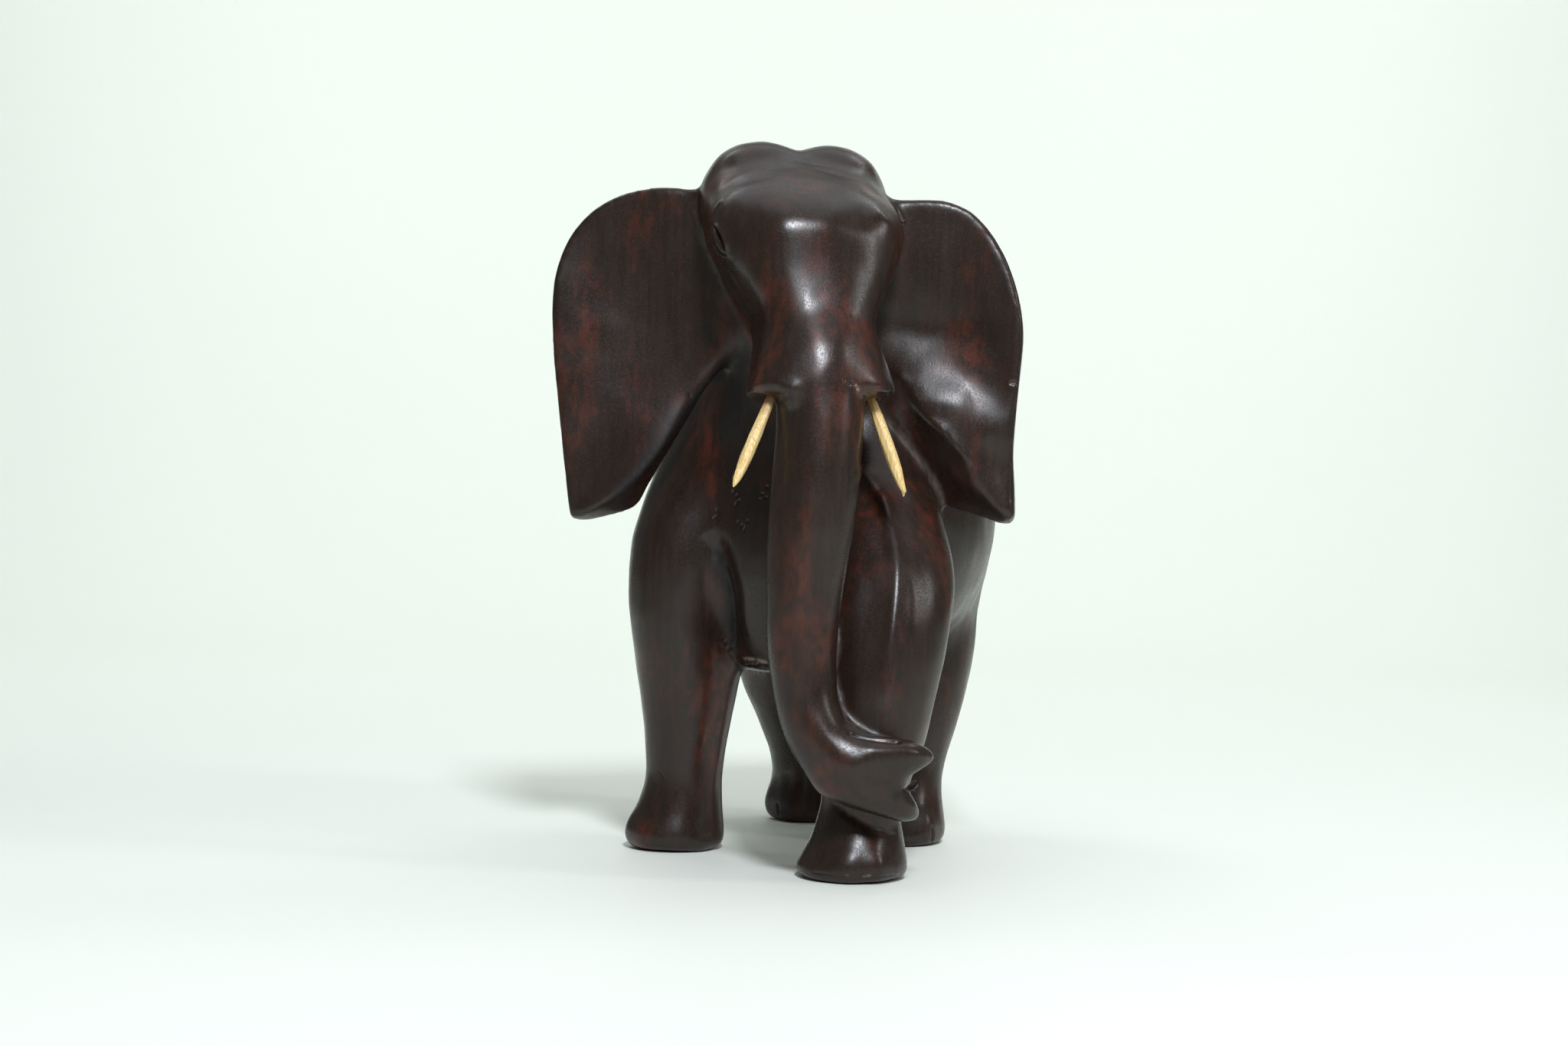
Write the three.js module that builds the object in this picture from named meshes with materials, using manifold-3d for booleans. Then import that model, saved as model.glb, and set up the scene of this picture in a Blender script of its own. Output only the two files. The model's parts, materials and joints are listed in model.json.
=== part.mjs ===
// A hardwood elephant carved from one block, standing on its four feet with the left fore foot forward.
// Its head is turned to its left, its ears are spread, and its trunk hangs down and wraps the left fore
// ankle. Two pale tusks are pegged into the ends of the cheeks.
// Millimetres, +Z up. It faces -Y, and its left side is at +X.
import * as THREE from "three";
import { mergeVertices } from "three/addons/utils/BufferGeometryUtils.js";
import { SimplifyModifier } from "three/addons/modifiers/SimplifyModifier.js";
import Module from "manifold-3d";

const wasm = await Module();
wasm.setup();

// Driving dimensions
const BARREL = { centre: [0, 10, 205], width: 97.5, front: 92, back: 143, up: 117, down: 99, fullness: 2.5 };
const HEAD_TURN = THREE.MathUtils.degToRad(35); // towards the elephant's left, from straight ahead
const EAR_TURN = THREE.MathUtils.degToRad(14); // the ears spread more squarely to the body than the face does
const NECK = [2, -70.7]; // where the head turns, in X and Y
const TUSK = { length: 56, sunk: 9, rootRadius: 2.6, bellyRadius: 3.6, tipRadius: 1 };
const PEG_GAP = 0.3; // between a tusk and the hole that it is pegged into
const WOOD = { color: 0x2a1712, roughness: 0.38, metalness: 0 };
const PALE_WOOD = { color: 0xd9bd84, roughness: 0.55, metalness: 0 };

const GRID = 2.8; // spacing of the samples from which the carved surface is drawn
const BLOCK = 4; // samples along the side of a block, which is sampled once where the surface is far off
const MARGIN = 9; // how far the samples reach past the figure
const BODY_TRIANGLES = 8500;

// Small mathematics of rounded forms. A form is a function of a point that gives about its distance from the
// surface, negative inside.

function join(a, b, blend) {
  const h = Math.max(blend - Math.abs(a - b), 0) / blend;
  return Math.min(a, b) - h * h * blend * 0.25;
}

function cut(a, b, blend) {
  return -join(-a, b, blend);
}

// Smooth interpolation between rows of keys, whose first number is the place, as a table of even steps.
function profile(rows, step = 1) {
  const first = rows[0][0];
  const last = rows.at(-1)[0];
  const slope = (i, c) => {
    const low = rows[Math.max(i - 1, 0)];
    const high = rows[Math.min(i + 1, rows.length - 1)];
    return (high[c] - low[c]) / (high[0] - low[0]);
  };
  const table = [];
  for (let n = 0, i = 0; n <= Math.ceil((last - first) / step); n++) {
    const at = Math.min(first + n * step, last);
    while (i < rows.length - 2 && at > rows[i + 1][0]) i++;
    const span = rows[i + 1][0] - rows[i][0];
    const t = (at - rows[i][0]) / span;
    const value = [];
    for (let c = 1; c < rows[0].length; c++) {
      const rise = rows[i + 1][c] - rows[i][c];
      const m0 = slope(i, c) * span;
      const m1 = slope(i + 1, c) * span;
      value.push(rows[i][c] + t * (m0 + t * (3 * rise - 2 * m0 - m1 + t * (m0 + m1 - 2 * rise))));
    }
    table.push(value);
  }
  const found = [];
  return (at) => {
    const place = THREE.MathUtils.clamp((at - first) / step, 0, table.length - 1.001);
    const i = Math.floor(place);
    for (let c = 0; c < table[0].length; c++) {
      found[c] = table[i][c] + (table[i + 1][c] - table[i][c]) * (place - i);
    }
    return found;
  };
}

function oval(dx, dy, rx, ry) {
  const size = Math.hypot(dx / rx, dy / ry);
  if (size < 1e-3) return -Math.min(rx, ry);
  return (size * (size - 1)) / Math.hypot(dx / (rx * rx), dy / (ry * ry));
}

function ellipsoid([cx, cy, cz], [rx, ry, rz]) {
  return (x, y, z) => {
    const dx = x - cx;
    const dy = y - cy;
    const dz = z - cz;
    const size = Math.hypot(dx / rx, dy / ry, dz / rz);
    if (size < 1e-3) return -Math.min(rx, ry, rz);
    return (size * (size - 1)) / Math.hypot(dx / (rx * rx), dy / (ry * ry), dz / (rz * rz));
  };
}

// A limb along Z from rows of z, centre x, centre y, half width and half depth.
function column(rows) {
  const at = profile(rows);
  const bottom = rows[0][0];
  const top = rows.at(-1)[0];
  return (x, y, z) => {
    const [cx, cy, rx, ry] = at(z);
    const side = oval(x - cx, y - cy, rx, ry);
    return Math.max(side, bottom - z, z - top);
  };
}

// A round bar along a smooth curve through rows of x, y, z and radius.
function bar(rows, steps) {
  const line = new THREE.CatmullRomCurve3(rows.map(([x, y, z]) => new THREE.Vector3(x, y, z)));
  const radii = profile(rows.map((row, i) => [i / (rows.length - 1), row[3]]), 1 / steps);
  const points = [];
  for (let i = 0; i <= steps; i++) {
    const p = line.getPoint(i / steps);
    points.push([p.x, p.y, p.z, radii(i / steps)[0]]);
  }
  const near = 40;
  const reach = near + Math.max(...points.map((p) => p[3]));
  const low = [0, 1, 2].map((k) => Math.min(...points.map((p) => p[k])) - reach);
  const high = [0, 1, 2].map((k) => Math.max(...points.map((p) => p[k])) + reach);
  return (x, y, z) => {
    const outside = x < low[0] || y < low[1] || z < low[2] || x > high[0] || y > high[1] || z > high[2];
    if (outside) return near;
    let nearest = Infinity;
    for (let i = 0; i < steps; i++) {
      const [ax, ay, az, ar] = points[i];
      const [bx, by, bz, br] = points[i + 1];
      const ux = bx - ax;
      const uy = by - ay;
      const uz = bz - az;
      const along = ((x - ax) * ux + (y - ay) * uy + (z - az) * uz) / (ux * ux + uy * uy + uz * uz);
      const t = Math.min(Math.max(along, 0), 1);
      const d = Math.hypot(x - ax - t * ux, y - ay - t * uy, z - az - t * uz) - (ar + t * (br - ar));
      if (d < nearest) nearest = d;
    }
    return nearest;
  };
}

// The head's own directions: a to its left, b forward, z up, measured from the neck.
function turned(x, y, turn) {
  const dx = x - NECK[0];
  const dy = y - NECK[1];
  return [dx * Math.cos(turn) + dy * Math.sin(turn), dx * Math.sin(turn) - dy * Math.cos(turn)];
}

function fromHead(a, b, z) {
  const x = NECK[0] + a * Math.cos(HEAD_TURN) + b * Math.sin(HEAD_TURN);
  const y = NECK[1] + a * Math.sin(HEAD_TURN) - b * Math.cos(HEAD_TURN);
  return [x, y, z];
}

// Body: a full barrel, broadest behind the fore legs and narrower towards the rump
function barrel(x, y, z) {
  const { centre, width, front, back, up, down, fullness } = BARREL;
  const dy = y - centre[1];
  const dz = z - centre[2];
  const around = Math.hypot((x - centre[0]) / width, dy / (dy < 0 ? front : back));
  const height = Math.abs(dz) / (dz < 0 ? down : up);
  return ((around ** fullness + height ** fullness) ** (1 / fullness) - 1) * width;
}

const neck = bar([[3, -60, 336, 40], [3, -44, 304, 48], [1, -16, 268, 57], [0, 16, 242, 72]], 10);

// Legs: rows of z, centre x, centre y, half width and half depth. They start below the ground, where the
// saw cuts them off.
const leftFore = column([
  [-12, 64, -116.5, 20, 21],
  [0, 64, -116.5, 27.5, 28.5],
  [4, 64.2, -116.3, 30, 31],
  [9, 64.7, -115.7, 29.8, 30.8],
  [20, 66, -114, 25.5, 27],
  [36, 67.3, -112.5, 21.7, 23.5],
  [54, 69.5, -110, 24.5, 26],
  [71, 71.4, -108, 28.5, 29],
  [88, 71.8, -105.5, 31, 31],
  [109, 73, -102.5, 34, 33],
  [130, 72.7, -98.5, 36.3, 35],
  [152, 72, -90, 37.5, 36.5],
  [172, 68.5, -80, 36, 37],
  [200, 58, -62, 33, 35],
  [235, 42, -40, 28, 33],
  [285, 22, -24, 12, 14],
]);
const rightFore = column([
  [-12, -64, -54, 17, 19],
  [0, -64.3, -54, 24.5, 26.5],
  [4, -64.8, -54, 27.6, 29.6],
  [10, -65, -54, 28.4, 30.5],
  [24, -63, -53, 24.6, 26.5],
  [40, -61.4, -52, 22, 24],
  [65, -60.4, -51, 24, 26],
  [83, -60.2, -50, 26.8, 29],
  [97, -60.2, -50, 29, 31.5],
  [114, -61.2, -49, 31, 35],
  [142, -63, -48, 33.5, 39],
  [185, -60, -43, 35.5, 41],
  [240, -46, -28, 32, 34],
  [290, -22, -26, 12, 14],
]);
const leftHind = column([
  [-12, 42, 36, 16, 20],
  [0, 42.2, 36, 24.5, 28.5],
  [5, 42.2, 36.5, 27, 31],
  [12, 42, 38, 27, 30.5],
  [28, 41.2, 42.5, 24, 26],
  [46, 40.4, 47.5, 24.6, 25.6],
  [70, 42, 54, 28.5, 30],
  [91, 42, 61, 32, 35],
  [119, 41, 69, 35, 40],
  [142, 37.5, 76, 36, 44],
  [190, 36, 80, 36, 47],
  [225, 30, 76, 30, 40],
  [260, 20, 66, 14, 18],
]);
const rightHind = column([
  [-12, -42.5, 112, 15, 16],
  [0, -42.5, 112, 23.5, 24.5],
  [5, -42.8, 112.5, 26.6, 27.4],
  [11, -43, 113, 27.5, 28],
  [29, -42.5, 112, 24, 25],
  [41, -43, 111, 24.6, 26],
  [53, -44, 110, 27, 28.5],
  [70, -46, 108.5, 32, 34],
  [86, -48.3, 106, 37, 39],
  [120, -49, 101, 41, 46],
  [190, -44, 88, 40, 50],
  [225, -36, 80, 32, 42],
  [260, -22, 68, 14, 18],
]);

// The chest comes down between the fore legs and ends in a flat cut underneath.
const CHEST = { centre: [4, -34, 168], half: [56, 54, 78], floor: 103 };

function chest(x, y, z) {
  const lobe = oval(Math.hypot((x - CHEST.centre[0]) / CHEST.half[0], (y - CHEST.centre[1]) / CHEST.half[1]) *
    CHEST.half[0], z - CHEST.centre[2], CHEST.half[0], CHEST.half[2]);
  return cut(lobe, z - CHEST.floor, 5);
}

// Toes: soft swellings round the front of a foot. Each stands at an angle from straight ahead.
function toes([cx, cy], reach, angles) {
  const swellings = angles.map((angle) => {
    const turn = THREE.MathUtils.degToRad(angle);
    return ellipsoid([cx + reach * Math.sin(turn), cy - reach * Math.cos(turn), 11], [6.5, 6.5, 10]);
  });
  return (x, y, z) => Math.min(...swellings.map((swelling) => swelling(x, y, z)));
}

const allToes = [
  toes([64.5, -116], 25.5, [14, 46]),
  toes([-65, -54], 22.5, [-52, -16]),
  toes([42.5, 37], 22.5, [12, 56]),
  toes([-43, 113], 21.5, [-60, -14]),
];

// Head: rows of z, half width, front, where it is widest, and back, in the head's own directions
const skullRows = profile([
  [245, 39.4, 105.4, 78, 46],
  [255, 40.4, 105.9, 78, 42],
  [265, 38.9, 104.5, 76, 34],
  [277, 34.6, 101, 72, 20],
  [290, 31.6, 95.8, 66, 4],
  [302, 32.6, 90.7, 61, -9],
  [316, 40.2, 86.2, 54, -19],
  [330, 48.2, 83.3, 46, -23.7],
  [341, 53, 81.8, 39, -25.6],
  [352, 54.6, 78.3, 34, -26.6],
  [363, 52.9, 69.3, 24, -25.6],
  [374, 46, 54.2, 14, -21.7],
  [381, 36, 41.4, 9, -16.8],
  [387, 20, 25.8, 7, -8.9],
  [390, 5, 11.8, 5, -2],
]);
const FACE_MIDDLE = 1.2; // the face is a little off the line of the neck
const FACE_FLATNESS = 2.35; // the face is a little squarer than an ellipse, seen from above
// The cheeks end in a face that looks down and slightly forward.
const CHEEK_END = { z: 255.4, slope: 0.15, at: 80 };

function skull(a, b, z) {
  const [half, front, widest, back] = skullRows(z);
  const deep = b > widest ? front - widest : widest - back;
  const across = Math.abs(a - FACE_MIDDLE) / half;
  const along = Math.abs(b - widest) / deep;
  const size = (across ** FACE_FLATNESS + along ** FACE_FLATNESS) ** (1 / FACE_FLATNESS);
  const side = (size - 1) * Math.min(half, deep);
  const end = CHEEK_END.z + CHEEK_END.slope * (b - CHEEK_END.at) - z;
  return Math.max(-join(-side, -end, 6), z - 389.5);
}

const domes = [-16.3, 24].map((a) => ellipsoid([a, -1, 374.8], [32.2, 32.5, 28.2]));
const jaw = ellipsoid([0, 53, 246], [15, 22, 17]);
const trunk = bar(
  [
    [38.5, -124, 302, 15],
    [46.5, -135.3, 276, 23.5],
    [48.6, -139.8, 255.4, 23.5],
    [50.1, -142.4, 239.9, 23.2],
    [49.8, -144.7, 218, 23.2],
    [47.9, -146.5, 191.7, 23],
    [45.8, -147.3, 165.5, 21.4],
    [44.9, -148.2, 142, 19.8],
    [45.6, -149.5, 118, 18.1],
    [48.2, -150, 98, 16.9],
    [53.6, -150.6, 82.2, 16.7],
    [63, -150, 69, 16.8],
    [76, -147.5, 60.6, 16.6],
    [87, -142, 57, 14],
  ],
  72,
);
const upperLip = bar([[66, -149, 70, 14], [78.4, -148.5, 66, 13.5], [90.5, -144.5, 67.3, 12],
  [100.7, -138.5, 68.1, 9.6], [107.5, -131, 68.1, 5.8], [110.3, -126.5, 68.2, 2.8]], 16);
const lowerLip = bar([[66, -148, 58, 14], [78, -147, 53, 12.5], [90, -142.5, 47.5, 11],
  [98.2, -136.5, 41.7, 8.2], [102.3, -129.5, 37.9, 4.2]], 14);

// Ears: the outline of each in a and z, seen from in front, from the head round to the tip. Its lower inner
// border is thick, and slopes from a front edge back to a back edge that reaches further.
const RIM = 8; // thickness of an ear along its outer rim
const BORDER = 20; // and at its lower inner border
const ears = [
  {
    side: -1,
    outline: [[6, 345], [30, 368], [54, 376], [77, 377], [101, 370], [119, 355], [129, 335], [132, 309],
      [130, 280], [124.5, 235], [118.2, 188.3]],
    back: [[118.2, 188.3], [115, 187], [95, 191], [82, 196], [74, 211], [58, 238], [41, 266], [18, 296],
      [8, 318]],
    front: [[118.2, 188.3], [108, 191.5], [84, 208], [71, 221], [59, 240], [50, 260], [38, 275],
      [16, 302], [8, 318]],
  },
  {
    side: 1,
    outline: [[6, 342], [34, 366], [60, 370.5], [91, 370.2], [105, 364], [119, 347], [129, 325],
      [134.3, 297], [132, 265], [130, 230], [131.8, 197], [131, 191.5]],
    back: [[131, 191.5], [128, 190.4], [108, 195], [93.6, 199.6], [88, 209], [68, 237], [44, 271.5],
      [18, 302], [8, 320]],
    front: [[131, 191.5], [121, 203.5], [104, 226], [80, 251], [61, 274], [34, 294], [8, 320]],
  },
];

// How far a place is from a closed line, negative inside
function toLine(points, px, py) {
  let nearest = Infinity;
  let inside = false;
  for (let i = 0; i < points.length; i++) {
    const p = points[i];
    const q = points[(i + points.length - 1) % points.length];
    const ex = q.x - p.x;
    const ey = q.y - p.y;
    const wx = px - p.x;
    const wy = py - p.y;
    const t = Math.min(Math.max((wx * ex + wy * ey) / (ex * ex + ey * ey || 1), 0), 1);
    nearest = Math.min(nearest, Math.hypot(wx - t * ex, wy - t * ey));
    if (p.y > py !== q.y > py && px < (ex * wy) / ey + p.x) inside = !inside;
  }
  return inside ? -nearest : nearest;
}

// A function of two numbers, kept at every millimetre and read in between.
function chart([left, bottom], [right, top], value) {
  const wide = right - left + 2;
  const kept = [];
  for (let j = bottom; j <= top + 1; j++) for (let i = left; i <= right + 1; i++) kept.push(value(i, j));
  return (u, v) => {
    const i = Math.floor(u);
    const j = Math.floor(v);
    const at = i - left + wide * (j - bottom);
    const low = kept[at] + (kept[at + 1] - kept[at]) * (u - i);
    const high = kept[at + wide] + (kept[at + wide + 1] - kept[at + wide]) * (u - i);
    return low + (high - low) * (v - j);
  };
}

const EAR_LOW = [2, 172];
const EAR_HIGH = [156, 392];
const earForms = ears.map((shape) => {
  const smooth = (points, count) =>
    new THREE.CatmullRomCurve3(points.map(([a, z]) => new THREE.Vector3(a, z, 0)), false, "centripetal")
      .getSpacedPoints(count);
  const rim = smooth(shape.outline, 60);
  const faces = [shape.back, shape.front].map((border) => [...rim, ...smooth(border, 40).slice(1, -1)]);
  const [toBack, toFront] = faces.map((face) => chart(EAR_LOW, EAR_HIGH, (a, z) => toLine(face, a, z)));
  return (headA, b, z) => {
    const a = shape.side * headA;
    if (a < EAR_LOW[0] || a > EAR_HIGH[0] || z < EAR_LOW[1] || z > EAR_HIGH[1]) return 20;
    if (b < -24 || b > 44) return 20;
    const fromBack = toBack(a, z);
    const fromFront = toFront(a, z);
    const low = 1 - THREE.MathUtils.smoothstep(z - 1.45 * a, 100, 200);
    const rolled = Math.exp(Math.min(fromFront, 0) / 22) * low;
    const hollow = 3 * Math.exp(-(((a - 88) / 30) ** 2) - ((z - 305) / 45) ** 2);
    const tip = 1 - 0.5 * THREE.MathUtils.smoothstep(a, 95, 128);
    const front = RIM + (BORDER - RIM) * rolled * tip - hollow;
    const back = -3 * rolled;
    const across = THREE.MathUtils.clamp((b - back - 2) / (front - back - 3), 0, 1);
    const edge = fromBack + (fromFront - fromBack) * across;
    const slab = Math.abs(b - (front + back) / 2) - (front - back) / 2;
    const round = 2.6;
    const u = edge * 0.9 + round;
    const v = slab + round;
    return Math.hypot(Math.max(u, 0), Math.max(v, 0)) + Math.min(Math.max(u, v), 0) - round;
  };
});

// Tail: it lies in relief down the rump, and ends in a tuft
function rumpPoint(x, z, proud) {
  const { centre, width, back, up, down, fullness } = BARREL;
  const dz = z - centre[2];
  const level = (1 - Math.abs(dz / (dz < 0 ? down : up)) ** fullness) ** (1 / fullness);
  return [x, centre[1] + back * Math.sqrt(Math.max(level ** 2 - (x / width) ** 2, 0)) + proud, z];
}
const tail = bar(
  [
    [...rumpPoint(0, 290, -3), 8],
    [...rumpPoint(0, 268, 1.5), 7.5],
    [...rumpPoint(-3, 230, 3), 6.5],
    [...rumpPoint(-9, 190, 3), 6],
    [...rumpPoint(-15, 160, 2.5), 7],
    [...rumpPoint(-19, 145, 2), 8],
    [...rumpPoint(-22, 131, 2), 4],
  ],
  24,
);

function figure(x, y, z) {
  let d = join(barrel(x, y, z), chest(x, y, z), 14);
  d = join(d, neck(x, y, z), 22);
  d = join(d, leftFore(x, y, z), 12);
  d = join(d, rightFore(x, y, z), 9);
  d = join(d, leftHind(x, y, z), 14);
  d = join(d, rightHind(x, y, z), 16);
  d = join(d, tail(x, y, z), 4);
  if (z < 36) {
    for (const toe of allToes) d = join(d, toe(x, y, z), 5);
  }
  const [across, ahead] = turned(x, y, EAR_TURN);
  d = join(d, Math.min(earForms[0](across, ahead, z), earForms[1](across, ahead, z)), 8);
  const [a, b] = turned(x, y, HEAD_TURN);
  let head = join(domes[0](a, b, z), domes[1](a, b, z), 4);
  head = join(head, skull(a, b, z), 14);
  head = join(head, jaw(a, b, z), 6);
  let nose = join(upperLip(x, y, z), lowerLip(x, y, z), 2);
  nose = join(trunk(x, y, z), nose, 6);
  head = join(head, nose, 4);
  return join(d, head, 6);
}

// The surface of a form, drawn through samples on an even grid: each cube of samples is six tetrahedra
const CUBE = [[0, 0, 0], [1, 0, 0], [1, 1, 0], [0, 1, 0], [0, 0, 1], [1, 0, 1], [1, 1, 1], [0, 1, 1]];
const TETRAHEDRA = [[0, 5, 1, 6], [0, 1, 2, 6], [0, 2, 3, 6], [0, 3, 7, 6], [0, 7, 4, 6], [0, 4, 5, 6]];

function surfaceOf(form, low, high, step) {
  const count = low.map((v, k) => Math.ceil((high[k] - v) / step) + 1);
  const index = (i, j, k) => i + count[0] * (j + count[1] * k);
  const sample = new Float32Array(count[0] * count[1] * count[2]);
  const at = (i, j, k) => form(low[0] + i * step, low[1] + j * step, low[2] + k * step) || 1e-4;
  for (let k = 0; k < count[2]; k += BLOCK) {
    for (let j = 0; j < count[1]; j += BLOCK) {
      for (let i = 0; i < count[0]; i += BLOCK) {
        const half = (BLOCK - 1) / 2;
        const middle = at(i + half, j + half, k + half);
        const far = Math.abs(middle) > BLOCK * step * 1.25;
        for (let w = k; w < Math.min(k + BLOCK, count[2]); w++) {
          for (let v = j; v < Math.min(j + BLOCK, count[1]); v++) {
            for (let u = i; u < Math.min(i + BLOCK, count[0]); u++) {
              sample[index(u, v, w)] = far ? middle : at(u, v, w);
            }
          }
        }
      }
    }
  }
  const place = (n) => {
    const i = n % count[0];
    const j = Math.floor(n / count[0]) % count[1];
    const k = Math.floor(n / (count[0] * count[1]));
    return [low[0] + i * step, low[1] + j * step, low[2] + k * step];
  };
  const positions = [];
  const triangles = [];
  const crossings = new Map();
  const crossing = (p, q) => {
    const key = p < q ? p * sample.length + q : q * sample.length + p;
    if (!crossings.has(key)) {
      const t = THREE.MathUtils.clamp(sample[p] / (sample[p] - sample[q]), 0.02, 0.98);
      const from = place(p);
      const to = place(q);
      crossings.set(key, positions.length / 3);
      positions.push(...from.map((v, c) => v + t * (to[c] - v)));
    }
    return crossings.get(key);
  };
  const facing = (tri, inner, outer) => {
    const [p, q, r] = tri.map((v) => new THREE.Vector3().fromArray(positions, v * 3));
    const outward = new THREE.Vector3(...place(outer)).sub(new THREE.Vector3(...place(inner)));
    const normal = q.sub(p).cross(r.sub(p));
    triangles.push(...(normal.dot(outward) > 0 ? tri : [tri[0], tri[2], tri[1]]));
  };
  for (let k = 0; k < count[2] - 1; k++) {
    for (let j = 0; j < count[1] - 1; j++) {
      for (let i = 0; i < count[0] - 1; i++) {
        const corner = CUBE.map(([di, dj, dk]) => index(i + di, j + dj, k + dk));
        const inside = corner.filter((n) => sample[n] < 0).length;
        if (inside === 0 || inside === 8) continue;
        for (const four of TETRAHEDRA) {
          const ins = four.map((n) => corner[n]).filter((n) => sample[n] < 0);
          const outs = four.map((n) => corner[n]).filter((n) => sample[n] >= 0);
          if (ins.length === 1) facing(outs.map((n) => crossing(ins[0], n)), ins[0], outs[0]);
          if (ins.length === 3) facing(ins.map((n) => crossing(n, outs[0])), ins[0], outs[0]);
          if (ins.length === 2) {
            const [p, q] = outs.map((n) => crossing(ins[0], n));
            const [s, r] = outs.map((n) => crossing(ins[1], n));
            facing([p, q, r], ins[0], outs[0]);
            facing([p, r, s], ins[0], outs[0]);
          }
        }
      }
    }
  }
  const geometry = new THREE.BufferGeometry();
  geometry.setAttribute("position", new THREE.Float32BufferAttribute(positions, 3));
  geometry.setIndex(triangles);
  return geometry;
}

// Evens out the triangles: each point goes to the middle of its neighbours and then back to the surface.
function evened(geometry, form, rounds) {
  const p = geometry.attributes.position.array;
  const index = geometry.index.array;
  const count = p.length / 3;
  for (let round = 0; round < rounds; round++) {
    const sum = new Float64Array(count * 4);
    for (let i = 0; i < index.length; i += 3) {
      for (let k = 0; k < 3; k++) {
        const from = index[i + k];
        const to = index[i + ((k + 1) % 3)];
        for (let c = 0; c < 3; c++) sum[from * 4 + c] += p[to * 3 + c];
        sum[from * 4 + 3] += 1;
      }
    }
    for (let n = 0; n < count; n++) {
      let [x, y, z] = [0, 1, 2].map((c) => 0.4 * p[n * 3 + c] + (0.6 * sum[n * 4 + c]) / sum[n * 4 + 3]);
      const h = 0.4;
      const d = form(x, y, z);
      const gx = (form(x + h, y, z) - d) / h;
      const gy = (form(x, y + h, z) - d) / h;
      const gz = (form(x, y, z + h) - d) / h;
      const by = THREE.MathUtils.clamp(d / Math.max(gx * gx + gy * gy + gz * gz, 0.25), -1.5, 1.5);
      x -= gx * by;
      y -= gy * by;
      z -= gz * by;
      p[n * 3] = x;
      p[n * 3 + 1] = y;
      p[n * 3 + 2] = z;
    }
  }
  return geometry;
}

// Keeps the shape with fewer, larger triangles where it is flat.
async function simplified(geometry, triangles) {
  const share = 1 - triangles / (geometry.index.count / 3);
  return new SimplifyModifier().modify(geometry, Math.floor(geometry.attributes.position.count * share));
}

function solid(geometry) {
  const bare = geometry.clone();
  for (const name of Object.keys(bare.attributes)) if (name !== "position") bare.deleteAttribute(name);
  const merged = mergeVertices(bare, 1e-3);
  return new wasm.Manifold(
    new wasm.Mesh({
      numProp: 3,
      vertProperties: new Float32Array(merged.attributes.position.array),
      triVerts: new Uint32Array(merged.index.array),
    }),
  );
}

function geometryOf(made) {
  const mesh = made.getMesh();
  const geometry = new THREE.BufferGeometry();
  geometry.setAttribute("position", new THREE.BufferAttribute(new Float32Array(mesh.vertProperties), 3));
  geometry.setIndex(new THREE.BufferAttribute(new Uint32Array(mesh.triVerts), 1));
  geometry.computeVertexNormals();
  return geometry;
}

// Tusk: a whittled stick, thickest past its middle, with a blunt point. It is drawn along +Z from its root.
function tuskGeometry(grow) {
  const { length, sunk, rootRadius, bellyRadius, tipRadius } = TUSK;
  const outline = [
    [0, -sunk - grow],
    [rootRadius + grow, -sunk - grow],
    [rootRadius + grow, 0],
    [bellyRadius + grow, length * 0.42],
    [bellyRadius * 0.94 + grow, length * 0.7],
    [tipRadius * 1.9 + grow, length * 0.9],
    [tipRadius + grow, length],
    [0, length + grow],
  ].map(([r, z]) => new THREE.Vector2(r, z));
  return new THREE.LatheGeometry(outline, 14).rotateX(Math.PI / 2);
}

const TUSK_ROOTS = { "-1": [-27, 80, 255], 1: [27.8, 80, 256] }; // in the head's own directions
const TUSK_TIPS = { "-1": [-50.6, 97, 207], 1: [42.2, 97, 207] };

function tuskMatrix(side) {
  const root = new THREE.Vector3(...fromHead(...TUSK_ROOTS[side]));
  const tip = new THREE.Vector3(...fromHead(...TUSK_TIPS[side]));
  const turn = new THREE.Quaternion().setFromUnitVectors(
    new THREE.Vector3(0, 0, 1), tip.sub(root).normalize(),
  );
  return new THREE.Matrix4().compose(root, turn, new THREE.Vector3(1, 1, 1));
}

async function carve() {
  const low = [-170, -190, -12];
  const high = [165, 195, 415];
  const surface = surfaceOf(figure, low.map((v) => v - MARGIN), high.map((v) => v + MARGIN), GRID);
  let made = solid(await simplified(evened(surface, figure, 2), BODY_TRIANGLES));
  const ground = new THREE.BoxGeometry(600, 600, 100).translate(0, 0, -50);
  made = made.subtract(solid(ground));
  for (const side of [-1, 1]) {
    made = made.subtract(solid(tuskGeometry(PEG_GAP).applyMatrix4(tuskMatrix(side))));
  }
  return geometryOf(made);
}

const group = new THREE.Group();
const elephant = new THREE.Mesh(await carve(), new THREE.MeshStandardMaterial(WOOD));
elephant.name = "elephant";
group.add(elephant);
for (const [name, side] of [["tusk_left", 1], ["tusk_right", -1]]) {
  const tusk = new THREE.Mesh(tuskGeometry(0), new THREE.MeshStandardMaterial(PALE_WOOD));
  tusk.name = name;
  tusk.applyMatrix4(tuskMatrix(side));
  group.add(tusk);
}

// The part's origin is on the ground, at the middle of its own box.
const box = new THREE.Box3().setFromObject(group, true);
const middle = box.getCenter(new THREE.Vector3());
group.position.set(-middle.x, -middle.y, -box.min.z);

export default group;
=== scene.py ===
"""A hardwood elephant carved from one block, with two whittled tusks, on a plain pale floor."""

import json
import math

import bpy
import numpy as np
from mathutils import Matrix, Vector
from mathutils.bvhtree import BVHTree

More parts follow.
